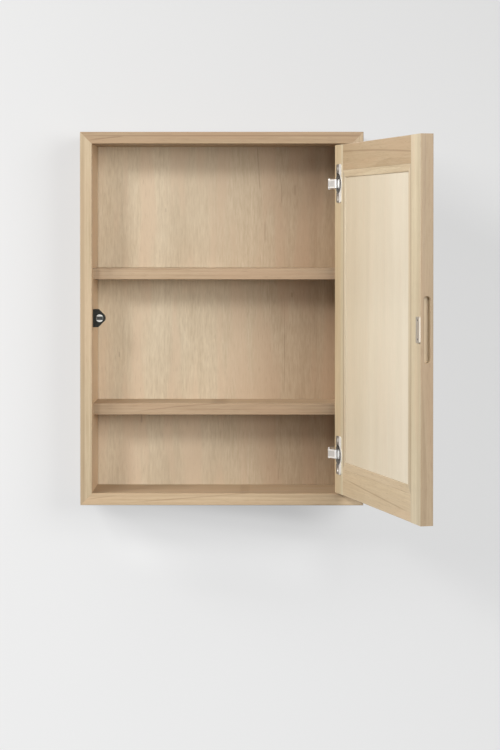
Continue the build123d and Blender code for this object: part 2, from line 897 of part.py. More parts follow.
# All pieces
pieces = [
    top_board,
    bottom_board,
    left_side,
    right_side,
    mitre_splines,
    back_panel,
    upper_shelf,
    lower_shelf,
    hanging_plates,
    hanging_screws,
    catch_housing,
    catch_magnet_cup,
    catch_magnet,
    catch_screws,
    plate_screws,
    machine_screws("side_adjusting_screws", adjusting_screw_back),
    machine_screws("arm_fixing_screws", fixing_screw_back),
    hinge_stile,
    free_stile,
    top_rail,
    bottom_rail,
    mirror_glass,
    backing_panel,
    *beads,
    strike_plate,
    strike_screws,
    cup_screws,
]
for level, hinge_height in hinge_heights.items():
    pieces.append(mounting_plate(level))
    pieces.append(hinge_arm(level))
    pieces.append(hinge_pin(f"{level}_arm_pin", arm_pivot, arm_pin_length, hinge_height))
    pieces.append(hinge_link(level))
    pieces.append(hinge_pin(f"{level}_cup_pin", open_cup_pivot, cup_pin_length, hinge_height))
    pieces.append(hinge_cup(level))

os.makedirs("parts", exist_ok=True)
for piece in pieces:
    export_step(piece.part, f"parts/{piece.part.label}.step")

print("pieces", len(pieces))
print("arm pivot", arm_pivot, "cup pivot open", open_cup_pivot, "link", round(link_length, 2))
print("door corner", door_corner, "door", door_width, door_height)
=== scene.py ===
import math
import bmesh
import bpy
from mathutils import Matrix, Vector


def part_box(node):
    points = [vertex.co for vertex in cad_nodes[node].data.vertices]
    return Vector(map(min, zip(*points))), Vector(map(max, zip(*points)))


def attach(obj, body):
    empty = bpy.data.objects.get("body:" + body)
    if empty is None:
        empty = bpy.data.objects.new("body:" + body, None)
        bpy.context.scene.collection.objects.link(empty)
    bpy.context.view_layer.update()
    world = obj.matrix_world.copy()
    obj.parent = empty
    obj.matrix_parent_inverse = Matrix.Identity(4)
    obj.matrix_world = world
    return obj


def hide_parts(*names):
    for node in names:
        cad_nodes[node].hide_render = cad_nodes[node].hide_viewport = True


# Mirrored wall cabinet with its door standing open. Everything is in metres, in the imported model's frame.
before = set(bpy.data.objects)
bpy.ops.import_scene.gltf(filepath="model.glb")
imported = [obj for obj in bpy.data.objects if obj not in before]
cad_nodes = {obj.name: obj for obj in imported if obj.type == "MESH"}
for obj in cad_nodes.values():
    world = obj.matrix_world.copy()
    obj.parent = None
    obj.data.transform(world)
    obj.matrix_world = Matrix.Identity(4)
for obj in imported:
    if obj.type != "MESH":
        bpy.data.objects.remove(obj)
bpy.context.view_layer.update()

# The door's own directions: along it from the hinge edge, and through it from the back face to the mirror
opening_angle = math.radians(105.0)
along_door = Vector((-math.cos(opening_angle), -math.sin(opening_angle), 0.0))
through_door = Vector((math.sin(opening_angle), -math.cos(opening_angle), 0.0))

# Turn after which x runs along the door and y through it
door_turn = math.pi - opening_angle

# Places read from the frame
carcass_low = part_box("left_side")[0]
carcass_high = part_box("right_side")[1]
front_y = carcass_low.y
shelf_front_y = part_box("upper_shelf")[0].y
middle_z = (carcass_low.z + carcass_high.z) / 2
half_width = carcass_high.x
half_height = carcass_high.z - middle_z
free_edge = max(corner.co.dot(along_door) for corner in cad_nodes["free_stile"].data.vertices)

# Camera, fitted to the edges of the cabinet
lens_mm = 100.65
sensor_mm = 36.0
camera_place = Vector((0.0561, -3.500, -0.1567))
camera_tilt = math.radians(90.0 - 0.74)
camera_turn = math.radians(0.36)
camera_shift = (0.0087, -0.150)

# Stage: a wall just behind the cabinet and a floor, each with a glow of its own beside the lamps' light
wall_y = 0.0004
wall_half_width = 6.0
wall_top = 3.0
floor_z = -1.75
floor_reach = 9.0
sheet_colour = (0.250, 0.251, 0.253)
wall_glow = (0.497, 0.499, 0.501)
floor_glow = (0.62, 0.622, 0.625)

# How the wall's glow changes for each metre to the right and down, and its limits. This is painted light:
# darker to the right, paler lower down.
painted_light_across = -0.135
painted_light_down = 0.20
glow_limits = (0.8, 1.2)

# Painted shadow on the wall under the cabinet, by depth below its edge, with painted light further down. Each
# metre to the right adds the slant.
beneath_span = (-0.13, 0.11)
beneath_soft = 0.09
beneath_slant = -0.12
painted_shadow_depth = (-0.040, 0.012)
painted_shadow_soft = 0.030
painted_shadow_share = 0.19
painted_light_start = (0.040, 0.070)
painted_light_end = (0.165, 0.100)
painted_light_share = 0.09

# Room light, and the background that shows past the stage
room_colour = (0.96, 0.98, 1.0)
room_strength = 0.235
background_colour = (0.84, 0.845, 0.85)

# Lamps: azimuth in degrees from straight ahead, + to the right, elevation, distance, width, height and watts
lamps = {
    "left_key": (-27.0, 23.8, 3.0, 0.45, 0.5, 26.0),
    "left_window": (-62.0, 26.0, 2.8, 1.2, 0.9, 58.0),
    "right_key": (21.0, 6.0, 3.2, 0.4, 0.4, 8.0),
    "right_soft": (28.0, 12.0, 3.2, 1.6, 1.4, 55.0),
    "rear_fill": (196.0, 26.0, 3.2, 1.8, 1.4, 34.0),
}
lamp_colour = (1.0, 0.985, 0.96)
lamp_target = Vector((0.0, -0.10, middle_z))

# How far the rounded normal agrees with the true one on flat faces, and on a sharp edge
flat_agreement = 0.995
edge_agreement = 0.80

# Sockets of a Mix node for its two colours and for the blend of them
mix_first = 6
mix_second = 7
mix_result = 2


def rgba(colour):
    return (*colour, 1.0)


def span_about(middle, width):
    return middle - width / 2, middle + width / 2


def middle_and_half(span):
    return (span[0] + span[1]) / 2, (span[1] - span[0]) / 2


def middle_height(node):
    """Height of the middle of a CAD piece."""
    low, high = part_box(node)
    return (low.z + high.z) / 2


def add_object(name, data):
    """New object in the scene for a mesh, lamp or camera."""
    made = bpy.data.objects.new(name, data)
    bpy.context.scene.collection.objects.link(made)
    return made


class Shader:
    """The node tree of a material or world, with short forms for the nodes used here."""

    def __init__(self, owner):
        self.owner = owner
        self.owner.use_nodes = True
        self.tree = self.owner.node_tree
        self.tree.nodes.clear()

    def node(self, kind, inputs, **settings):
        """Adds a node. Inputs are values, or the sockets that feed them."""
        made = self.tree.nodes.new("ShaderNode" + kind)
        for name, value in settings.items():
            setattr(made, name, value)
        for key, value in inputs.items():
            if isinstance(value, bpy.types.NodeSocket):
                self.tree.links.new(value, made.inputs[key])
            else:
                made.inputs[key].default_value = value
        return made

    def calc(self, operation, *values):
        """One step of arithmetic."""
        return self.node("Math", dict(enumerate(values)), operation=operation).outputs[0]

    def distance(self, first, second):
        return self.calc("ABSOLUTE", self.calc("SUBTRACT", first, second))

    def ease(self, value, low, high, to_low=0.0, to_high=1.0):
        """Smooth step of a value from one range to another."""
        inputs = {"Value": value, "From Min": low, "From Max": high, "To Min": to_low, "To Max": to_high}
        return self.node("MapRange", inputs, interpolation_type="SMOOTHSTEP").outputs[0]

    def within(self, value, span, soft=0.0006):
        """1 between two places along one axis, fading to 0 over the soft distance outside them."""
        middle, half = middle_and_half(span)
        return self.ease(self.distance(value, middle), half + soft, half)

    def object_space(self, turn=0.0):
        """Object coordinates, turned about the upright axis."""
        source = self.node("TexCoord", {}).outputs["Object"]
        return self.node("Mapping", {"Vector": source, "Rotation": (0.0, 0.0, turn)}).outputs[0]

    def split(self, vector):
        return self.node("SeparateXYZ", {"Vector": vector}).outputs

    def join(self, x, y, z):
        return self.node("CombineXYZ", {"X": x, "Y": y, "Z": z}).outputs[0]

    def stretch(self, vector, factors):
        return self.node("VectorMath", {0: vector, 1: factors}, operation="MULTIPLY").outputs[0]

    def noise(self, vector, scale=1.0, detail=2.0, roughness=0.5, distortion=0.0):
        inputs = {
            "Vector": vector,
            "Scale": scale,
            "Detail": detail,
            "Roughness": roughness,
            "Distortion": distortion,
        }
        return self.node("TexNoise", inputs).outputs[0]

    def mix(self, factor, first, second):
        """Blend of two colours, each a value or a socket."""
        inputs = {"Factor": factor}
        for socket, colour in ((mix_first, first), (mix_second, second)):
            inputs[socket] = colour if isinstance(colour, bpy.types.NodeSocket) else rgba(colour)
        return self.node("Mix", inputs, data_type="RGBA").outputs[mix_result]

    def bump(self, height, strength, distance):
        inputs = {"Height": height, "Strength": strength, "Distance": distance}
        return self.node("Bump", inputs).outputs[0]

    def edge_wear(self, radius):
        """Mask that rises from 0 on flat faces to 1 on edges and arrises."""
        rounded = self.node("Bevel", {"Radius": radius}, samples=4).outputs[0]
        true = self.node("NewGeometry", {}).outputs["Normal"]
        agreement = self.node("VectorMath", {0: rounded, 1: true}, operation="DOT_PRODUCT").outputs["Value"]
        return self.ease(agreement, flat_agreement, edge_agreement)

    def seen(self):
        """1 for what the camera sees, straight, in a reflection or through glass, and 0 for other light."""
        path = self.node("LightPath", {}).outputs
        indirect = self.calc("MAXIMUM", path["Is Glossy Ray"], path["Is Transmission Ray"])
        return self.calc("MAXIMUM", path["Is Camera Ray"], indirect)

    def finish(self, **inputs):
        """Ends the material in a Principled shader. Input names use _ for a space."""
        named = {key.replace("_", " "): value for key, value in inputs.items()}
        surface = self.node("BsdfPrincipled", named).outputs[0]
        self.node("OutputMaterial", {"Surface": surface})
        return self.owner


def new_material(name):
    return Shader(bpy.data.materials.new(name))


# Wood. Its marks repeat this often in a metre: across the grain, through it and along it.
fibre_repeats = (620.0, 620.0, 11.0)
fleck_repeats = (250.0, 250.0, 24.0)
pore_repeats = (1500.0, 1500.0, 55.0)
streak_repeats = (150.0, 150.0, 3.2)
patch_repeats = (16.0, 16.0, 2.6)
blush_repeats = (39.0, 39.0, 5.2)

# Shares of a board's seed that shift its marks across, through and along the grain
seed_shares = (1.0, 0.37, 1.7)

# Levels of noise between which pores and blushes appear
pore_levels = (0.60, 0.72)
blush_levels = (0.45, 0.65)

# Growth rings: a wave's length at scale 1, where their axis lies and how it slants, and how late wood rises
wave_length = 2 * math.pi / 20
ring_centre = (0.05, 0.09)
ring_slant = 0.12
late_wood_power = 2.2
late_wood_mean = 0.31

# What the wood's own colour is multiplied by
pale_tone = (1.15, 1.18, 1.22)
dark_tone = (0.83, 0.79, 0.745)
blush_tone = (1.05, 0.985, 0.98)
line_tone = (0.50, 0.42, 0.36)

# Worn edges, and the finish
worn_radius = 0.0012
worn_share = 0.22
wood_roughness = 0.46
roughness_spread = 0.14
pore_relief = 0.6

# Shares of a dark line's width and half length within which it has its full depth
line_core = 0.3
line_full = 0.55

# Dark line of a mitre
mitre_line_reach = 0.0006
mitre_line_core = 0.0001
mitre_line_depth = 0.45

# How far a front edge's painted tone reaches back, and the shares of that and of a sunk depth that have it
# fully. The tone is painted shade, and painted light on the bottom board's edge.
edge_reach = 0.0009
edge_core = 0.6
sunk_core = 0.9


def growth_rings(shader, first, y, along, seed, pitch):
    """Late wood in rings round an axis along the grain, rising from 0 to 1 at the end of each ring."""
    space = shader.join(
        shader.calc("ADD", first, ring_centre[0]),
        shader.calc("ADD", y, ring_centre[1]),
        shader.calc("MULTIPLY_ADD", along, ring_slant, seed),
    )
    inputs = {
        "Vector": space,
        "Scale": wave_length / pitch,
        "Distortion": 7.0,
        "Detail": 2.0,
        "Detail Scale": 0.28,
        "Detail Roughness": 0.45,
    }
    rings = shader.node("TexWave", inputs, wave_type="RINGS", rings_direction="Z", wave_profile="SAW")
    return shader.calc("POWER", rings.outputs["Fac"], late_wood_power)


def dark_line(shader, across, along, place, span, depth, width=0.0007, slope=0.0, bend=0.0):
    """Mask of one dark line: its place across the grain, its span along the grain, and how dark it is."""
    middle, half = middle_and_half(span)
    run = shader.calc("SUBTRACT", along, middle)
    curve = shader.calc("MULTIPLY_ADD", run, bend, slope)
    centre = shader.calc("MULTIPLY_ADD", curve, run, place)
    line = shader.ease(shader.distance(across, centre), width, width * line_core)
    ends = shader.ease(shader.calc("ABSOLUTE", run), half, half * line_full, 0.0, depth)
    return shader.calc("MULTIPLY", line, ends)


def mitre_line(shader, x, z):
    """Thin dark line where the carcass boards meet at their mitres."""
    from_side = shader.calc("SUBTRACT", half_width, shader.calc("ABSOLUTE", x))
    from_end = shader.calc("SUBTRACT", half_height, shader.distance(z, middle_z))
    away = shader.distance(from_side, from_end)
    return shader.ease(away, mitre_line_reach, mitre_line_core, 0.0, mitre_line_depth)


def edge_mask(shader, across, place, y, sunk):
    """1 on the edge at a place, and a share of that in what is sunk there: (depth, span in y, share)."""
    away = shader.distance(across, place)
    edge = shader.ease(away, edge_reach, edge_reach * edge_core)
    if sunk:
        depth, span, share = sunk
        inner = shader.calc("MULTIPLY", shader.ease(away, depth, depth * sunk_core), shader.within(y, span))
        edge = shader.calc("MAXIMUM", edge, shader.calc("MULTIPLY", inner, share))
    return edge


def timber(
    name,
    grain,
    colour,
    seed,
    far_colour=None,
    drift=(0.0, 1.0),
    door=False,
    ring_pitch=0.006,
    ring_amount=0.35,
    fibre_amount=0.45,
    fleck_amount=0.25,
    streak_amount=0.35,
    patch_amount=0.45,
    pore_amount=0.3,
    blush_amount=0.5,
    fine=1.0,
    lines=(),
    mitred=False,
    edge_place=None,
    painted_edge_tone=(1.0, 1.0, 1.0),
    sunk=None,
):
    """Oiled wood with growth rings, fibres, flecks, streaks, patches, pores, blushes and dark lines.

    The grain runs along x or z. The colour drifts to far_colour between two places in x, which is along the
    door for a door piece; on the back panel the drift is painted shade. An edge gets its edge tone at
    edge_place, in y on a carcass piece and along the door on a door piece. This tone is painted shade, and
    painted light on the bottom board, and a share of it is painted into what is sunk in the edge as shade.
    A fine of more than 1 makes the flecks finer, and a mitred board has the dark lines of the carcass
    corners.
    Some wide dark lines are painted shade.
    """
    shader = new_material(name)
    x, y, z = shader.split(shader.object_space(door_turn if door else 0.0))
    first, along = (z, x) if grain == "x" else (x, z)
    shifts = zip((first, y, along), seed_shares)
    grained = shader.join(*(shader.calc("ADD", value, seed * share) for value, share in shifts))
    late_wood = growth_rings(shader, first, y, along, seed, ring_pitch)
    fibre = shader.noise(shader.stretch(grained, fibre_repeats), detail=4.0, roughness=0.62)
    fleck_factors = (fine, fine, fine * fine)
    finer_flecks = [factor * repeats for factor, repeats in zip(fleck_factors, fleck_repeats)]
    fleck = shader.noise(shader.stretch(grained, finer_flecks))
    streak = shader.noise(shader.stretch(grained, streak_repeats))
    patch = shader.noise(shader.stretch(grained, patch_repeats), distortion=0.4)
    blush = shader.noise(shader.stretch(grained, blush_repeats), detail=1.0)
    pores = shader.ease(shader.noise(shader.stretch(grained, pore_repeats), detail=1.0), *pore_levels)

    # The board's colour, with its drift and its edge tone; either can be painted shade
    base = shader.mix(shader.ease(x, *drift), colour, far_colour or colour)
    if edge_place is not None:
        edge = edge_mask(shader, x if door else y, edge_place, y, sunk)
        base = shader.mix(edge, base, shader.stretch(base, painted_edge_tone))

    # Pale and dark wood, blushes, dark marks and worn edges. Some wide dark marks are painted shade.
    tone = shader.calc("MULTIPLY_ADD", late_wood, ring_amount, 0.5 - late_wood_mean * ring_amount)
    amounts = ((fibre, fibre_amount), (streak, streak_amount), (fleck, fleck_amount), (patch, patch_amount))
    for mark, amount in amounts:
        tone = shader.calc("MULTIPLY_ADD", shader.calc("SUBTRACT", mark, 0.5), 2.0 * amount, tone)
    toned = shader.mix(tone, shader.stretch(base, pale_tone), shader.stretch(base, dark_tone))
    blushing = shader.ease(blush, *blush_levels, 0.0, blush_amount)
    toned = shader.mix(blushing, toned, shader.stretch(base, blush_tone))
    shade = shader.calc("MULTIPLY", pores, pore_amount)
    for line in lines:
        shade = shader.calc("MAXIMUM", shade, dark_line(shader, first, along, *line))
    if mitred:
        shade = shader.calc("MAXIMUM", shade, mitre_line(shader, x, z))
    toned = shader.mix(shade, toned, shader.stretch(base, line_tone))
    worn = shader.calc("MULTIPLY", shader.edge_wear(worn_radius), worn_share)
    toned = shader.mix(worn, toned, shader.stretch(base, pale_tone))

    relief = shader.calc("SUBTRACT", fibre, shader.calc("MULTIPLY", pores, pore_relief))
    spread = shader.calc("SUBTRACT", fibre, late_wood)
    return shader.finish(
        Base_Color=toned,
        Roughness=shader.calc("MULTIPLY_ADD", spread, roughness_spread, wood_roughness),
        Specular_IOR_Level=0.3,
        Normal=shader.bump(relief, 0.25, 0.0002),
    )


def plain_ply(name):
    """Edge of the loose plywood tongues: thin plies across their thickness."""
    pale_ply = (0.66, 0.53, 0.37)
    dark_ply = (0.52, 0.39, 0.25)
    stain = (0.40, 0.29, 0.18)
    shader = new_material(name)
    space = shader.object_space()
    plies = shader.node("TexWave", {"Vector": space, "Scale": 240.0, "Distortion": 0.6}).outputs["Fac"]
    fibre = shader.noise(shader.stretch(space, (700.0, 30.0, 700.0)), detail=3.0)
    colour = shader.mix(plies, dark_ply, pale_ply)
    colour = shader.mix(shader.ease(fibre, 0.35, 0.75, 0.0, 0.5), colour, stain)
    return shader.finish(Base_Color=colour, Roughness=0.62, Normal=shader.bump(fibre, 0.3, 0.0002))


# Metal. The lay of a plated face repeats this often in a metre, by axis.
level_lay = (60.0, 60.0, 900.0)
upright_lay = (900.0, 900.0, 60.0)
even_lay = (300.0, 300.0, 300.0)
bright_steel = (0.93, 0.93, 0.92)
dull_steel = (0.72, 0.72, 0.71)

# Marks of a plated face: clouds of handling, the lay itself and the rubbed edges
cloud_repeats = 140.0
cloud_levels = (0.38, 0.72)
cloud_roughness = 0.16
lay_share = 0.16
lay_roughness = 0.12
rubbed_radius = 0.0003
rubbed_share = 0.5

# Height of the band between the painted highlights above and below the catch's magnet, and how softly the
# highlights end at it
highlight_gap = 0.0054
highlight_soft = 0.0003


def plated_steel(name, colour, dull, roughness, lay_repeats, grime=0.25, metallic=1.0, dark_spans=()):
    """Plated sheet steel with a fine lay, handling marks and brighter, rubbed edges.

    Each of the dark spans is (box, tone, share), painted in that tone: painted shade on the hinge cups, on
    the catch's magnet cup and on the strike screws, and a darker tone in the link recesses and on the strike
    plate's face. The box is in the door's turned space, with (low, high) or None by axis.
    """
    shader = new_material(name)
    space = shader.object_space(door_turn)
    lay = shader.noise(shader.stretch(space, lay_repeats), detail=3.0, roughness=0.6)
    cloud = shader.noise(space, scale=cloud_repeats, detail=3.0)
    tint = shader.mix(shader.ease(cloud, *cloud_levels, 0.0, grime), colour, dull)
    tint = shader.mix(shader.calc("MULTIPLY", lay, lay_share), tint, dull)
    rubbed = shader.calc("MULTIPLY", shader.edge_wear(rubbed_radius), rubbed_share)
    tint = shader.mix(rubbed, tint, bright_steel)
    for box, tone, share in dark_spans:
        inside = share
        for value, span in zip(shader.split(space), box):
            if span:
                inside = shader.calc("MULTIPLY", shader.within(value, span), inside)
        tint = shader.mix(inside, tint, tone)
    rough = shader.calc("MULTIPLY_ADD", lay, lay_roughness, roughness - lay_roughness / 2)
    rough = shader.calc("MULTIPLY_ADD", shader.calc("SUBTRACT", cloud, 0.5), cloud_roughness, rough)
    return shader.finish(
        Base_Color=tint,
        Metallic=metallic,
        Roughness=rough,
        Normal=shader.bump(lay, 0.08, 0.00005),
    )


# Plastic, ferrite and glass
def moulded_plastic(name):
    """Black catch housing: fine spark-eroded grain, rubbed slightly grey on its edges."""
    black = (0.007, 0.008, 0.006)
    soft_black = (0.015, 0.017, 0.013)
    rubbed_grey = (0.045, 0.048, 0.042)
    shader = new_material(name)
    space = shader.object_space()
    grain = shader.noise(space, scale=3800.0)
    cloud = shader.noise(space, scale=260.0)
    colour = shader.mix(shader.ease(cloud, 0.35, 0.7), black, soft_black)
    colour = shader.mix(shader.calc("MULTIPLY", shader.edge_wear(0.0005), 0.35), colour, rubbed_grey)
    return shader.finish(
        Base_Color=colour,
        Roughness=shader.calc("MULTIPLY_ADD", grain, 0.2, 0.40),
        Specular_IOR_Level=0.28,
        Normal=shader.bump(grain, 0.35, 0.00008),
    )


def sintered_magnet(name):
    """Dark ferrite with a dry, slightly pitted face, painted with highlights of bright steel above and below
    its middle band.
    """
    ferrite = (0.022, 0.024, 0.022)
    worn_ferrite = (0.060, 0.062, 0.060)
    highlight_steel = (0.62, 0.62, 0.60)
    shader = new_material(name)
    space = shader.object_space()
    pits = shader.noise(space, scale=2600.0, detail=4.0, roughness=0.7)
    colour = shader.mix(shader.ease(pits, 0.35, 0.7), ferrite, worn_ferrite)
    gap = span_about(middle_height("catch_magnet_cup"), highlight_gap)
    # Painted highlights of bright steel above and below the middle band
    colour = shader.mix(shader.within(shader.split(space)[2], gap, highlight_soft), highlight_steel, colour)
    return shader.finish(
        Base_Color=colour,
        Roughness=shader.calc("MULTIPLY_ADD", pits, 0.25, 0.38),
        Metallic=0.25,
        Normal=shader.bump(pits, 0.4, 0.0001),
    )


def silvered_glass(name):
    """Mirror: clean silver with a faint wipe haze, a green cut edge and a grey painted back."""
    silver = (0.86, 0.885, 0.88)
    cut_green = (0.22, 0.36, 0.30)
    back_paint = (0.30, 0.31, 0.32)
    shader = new_material(name)
    space = shader.object_space(door_turn)
    haze = shader.noise(shader.stretch(space, (5.0, 5.0, 2.0)), scale=3.0, detail=4.0, roughness=0.65)
    normal = shader.node("NewGeometry", {}).outputs["Normal"]
    inputs = {"Vector": normal, "Angle": door_turn}
    turned = shader.node("VectorRotate", inputs, rotation_type="Z_AXIS").outputs[0]
    facing = shader.split(turned)[1]
    edge = shader.ease(shader.calc("ABSOLUTE", facing), 0.9, 0.6)
    back = shader.ease(facing, 0.5, -0.5)
    silvered = shader.calc("SUBTRACT", 1.0, shader.calc("MAXIMUM", edge, back))
    colour = shader.mix(edge, silver, cut_green)
    colour = shader.mix(back, colour, back_paint)
    rough = shader.calc("ADD", shader.ease(haze, 0.4, 0.8, 0.012, 0.04), shader.calc("MULTIPLY", back, 0.4))
    return shader.finish(Base_Color=colour, Metallic=silvered, Roughness=rough)


# Screws
round_steps = 28
thread_pitch = 0.0014
thread_root = 0.76
point_taper = 2.2
point_tip = 0.12
flat_head_rim = 0.0003

# Dome of a pan head from its flat top to its seat: shares of the head's radius and of its height
pan_dome = ((0.74, 0.0), (0.93, 0.28), (1.0, 0.7), (1.0, 1.0))

# Cross recess, in shares of the flat top's radius, and its floor in shares of its mouth
recess_arm = 0.62
recess_width = 0.19
recess_depth = 0.55
recess_floor_arm = 0.62
recess_floor_width = 0.8

# How the plain screws are measured: corners that count as one, as the rim, as the widest part and as the tip
weld_distance = 0.000002
rim_depth = 0.00001
widest_share = 0.98
tip_share = 0.2

# Digits of a solid's centre by which the solids of a piece are put in order
sorting_digits = 5

# The cut screws are this much smaller than the plain ones, and each is turned further than the last
screw_inset = 0.00002
first_turn = 0.4
turn_step = 1.1


def loop_of(mesh, points):
    """Closed loop of new vertices with its edges."""
    corners = [mesh.verts.new(point) for point in points]
    return corners, [mesh.edges.new((corners[i - 1], corners[i])) for i in range(len(corners))]


def skin(mesh, first, second):
    """Quads between two loops of the same count."""
    for i in range(len(first)):
        mesh.faces.new((first[i - 1], first[i], second[i], second[i - 1]))


def circle(radius, height):
    turns = (2 * math.pi * i / round_steps for i in range(round_steps))
    return [(radius * math.cos(turn), radius * math.sin(turn), height) for turn in turns]


def cross(reach, width, height):
    """Outline of a cross recess: four arms with an inner corner between each two."""
    points = []
    for quarter in range(4):
        spin = Matrix.Rotation(quarter * math.pi / 2, 3, "Z")
        for x, y in ((reach, -width), (reach, width), (width, width)):
            points.append(spin @ Vector((x, y, height)))
    return points


def screw_profile(head, shank, length, head_height, pan):
    """Radius and height of every ring, from the rim of the head's flat top to the point."""
    if pan:
        rings = [(across * head, -down * head_height) for across, down in pan_dome]
    else:
        rings = [(head, 0.0), (head, -flat_head_rim)]
    rings.append((shank, -head_height))
    height = -head_height - thread_pitch / 2
    point = -length + (0.0 if pan else point_taper * shank)
    while height > point + thread_pitch:
        rings += [(shank, height), (thread_root * shank, height - thread_pitch / 2)]
        height -= thread_pitch
    return rings + [(thread_root * shank, point), (point_tip * shank, -length)]


def add_screw(mesh, place, head, shank, length, head_height, pan):
    """One cross-recessed screw, its head's top in the place's XY plane."""
    known = len(mesh.verts)
    rings = screw_profile(head, shank, length, head_height, pan)
    top = rings[0][0]
    arm, width = recess_arm * top, recess_width * top
    rim, rim_edges = loop_of(mesh, circle(*rings[0]))
    mouth, mouth_edges = loop_of(mesh, cross(arm, width, 0.0))
    floor = cross(recess_floor_arm * arm, recess_floor_width * width, -recess_depth * top)
    bottom = [mesh.verts.new(point) for point in floor]
    bmesh.ops.triangle_fill(mesh, use_beauty=True, edges=rim_edges + mouth_edges)
    skin(mesh, mouth, bottom)
    mesh.faces.new(bottom)
    previous = rim
    for ring in rings[1:]:
        corners = [mesh.verts.new(point) for point in circle(*ring)]
        skin(mesh, previous, corners)
        previous = corners
    mesh.faces.new(previous)
    mesh.verts.ensure_lookup_table()
    bmesh.ops.transform(mesh, matrix=place, verts=mesh.verts[known:])


def centre_of(points):
    return sum(points, Vector()) / len(points)


def solids_of(node):
    """Vertex places of every separate solid in a CAD piece."""
    mesh = bmesh.new()
    mesh.from_mesh(cad_nodes[node].data)
    bmesh.ops.remove_doubles(mesh, verts=mesh.verts, dist=weld_distance)
    seen = set()
    solids = []
    for start in mesh.verts:
        if start in seen:
            continue
        seen.add(start)
        found = [start]
        for corner in found:
            for edge in corner.link_edges:
                other = edge.other_vert(corner)
                if other not in seen:
                    seen.add(other)
                    found.append(other)
        solids.append([corner.co.copy() for corner in found])
    mesh.free()
    return sorted(solids, key=lambda solid: [round(part, sorting_digits) for part in centre_of(solid)])


def measure_screw(solid, axis, pan):
    """Centre of a plain screw's top, and its head radius, shank radius, length and head height."""
    heights = [corner.dot(axis) for corner in solid]
    top, low = max(heights), min(heights)
    centre = centre_of([corner for corner, height in zip(solid, heights) if height > top - rim_depth])
    radii = [(corner - centre - axis * (corner - centre).dot(axis)).length for corner in solid]
    head = max(radii)
    tip_end = low + tip_share * (top - low)
    shank = max(radius for height, radius in zip(heights, radii) if height < tip_end)
    wide = [height for height, radius in zip(heights, radii) if radius > widest_share * head]
    head_height = top - min(wide) if pan else head - shank
    return centre, head, shank, top - low, head_height


def cut_screws(node, body, axis, material, pan=False):
    """Puts a cross-recessed screw in place of every plain one in a CAD piece. Heads face along the axis."""
    mesh = bmesh.new()
    aim = axis.to_track_quat("Z", "Y").to_matrix().to_4x4()
    for count, solid in enumerate(solids_of(node)):
        centre, head, shank, length, head_height = measure_screw(solid, axis, pan)
        turn = Matrix.Rotation(first_turn + turn_step * count, 4, "Z")
        place = Matrix.Translation(centre) @ aim @ turn
        sizes = (size - screw_inset for size in (head, shank, length))
        add_screw(mesh, place, *sizes, head_height, pan)
    bmesh.ops.recalc_face_normals(mesh, faces=mesh.faces)
    data = bpy.data.meshes.new(node + "_cut")
    mesh.to_mesh(data)
    mesh.free()
    data.materials.append(material)
    screws = add_object(node + "_cut", data)
    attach(screws, body)
    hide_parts(node)


def add_screws():
    right = Vector((1.0, 0.0, 0.0))
    to_wall = Vector((0.0, 1.0, 0.0))
    bright = plated_steel(
        "bright_screws", (0.86, 0.86, 0.85), (0.60, 0.60, 0.60), 0.30, upright_lay, metallic=0.8
    )
    zinc = plated_steel("zinc_screws", (0.70, 0.70, 0.70), (0.50, 0.50, 0.52), 0.38, even_lay, grime=0.5)
    # Painted shade: the strike screws are painted near black inside the strike plate's recess
    recess = ((None, strike_recess_through, None), (0.03, 0.03, 0.025), 0.95)
    strike = plated_steel(
        "strike_screws", (0.60, 0.59, 0.56), (0.42, 0.41, 0.40), 0.36, upright_lay, metallic=0.5,
        dark_spans=(recess,),
    )
    cut_screws("cup_screws", "door", -through_door, bright)
    cut_screws("strike_plate_screws", "door", -through_door, strike)
    cut_screws("catch_screws", "cabinet", right, zinc)
    cut_screws("mounting_plate_screws", "cabinet", -right, zinc)
    cut_screws("hanging_plate_screws", "cabinet", to_wall, zinc)
    for node in ("side_adjusting_screws", "arm_fixing_screws"):
        cut_screws(node, "cabinet", -right, bright, pan=True)


# Camera, stage and light
def add_camera():
    data = bpy.data.cameras.new("camera")
    data.sensor_width = sensor_mm
    data.lens = lens_mm
    data.shift_x, data.shift_y = camera_shift
    camera = add_object("camera", data)
    camera.location = camera_place
    camera.rotation_euler = (camera_tilt, 0.0, camera_turn)
    bpy.context.scene.camera = camera


def painted_shadow_beneath(shader, x, z):
    """Painted shadow in the wall's glow under the cabinet: darker close to it, with painted light paler
    further down.
    """
    down = shader.calc("SUBTRACT", carcass_low.z, z)
    down = shader.calc("MULTIPLY_ADD", x, beneath_slant, down)
    darker = shader.calc("MULTIPLY", shader.within(down, painted_shadow_depth, painted_shadow_soft), painted_shadow_share)
    started = shader.ease(down, *painted_light_start, 0.0, painted_light_share)
    paler = shader.calc("MULTIPLY", started, shader.ease(down, *painted_light_end))
    beneath = shader.within(x, beneath_span, beneath_soft)
    return shader.calc("MULTIPLY", shader.calc("SUBTRACT", paler, darker), beneath)


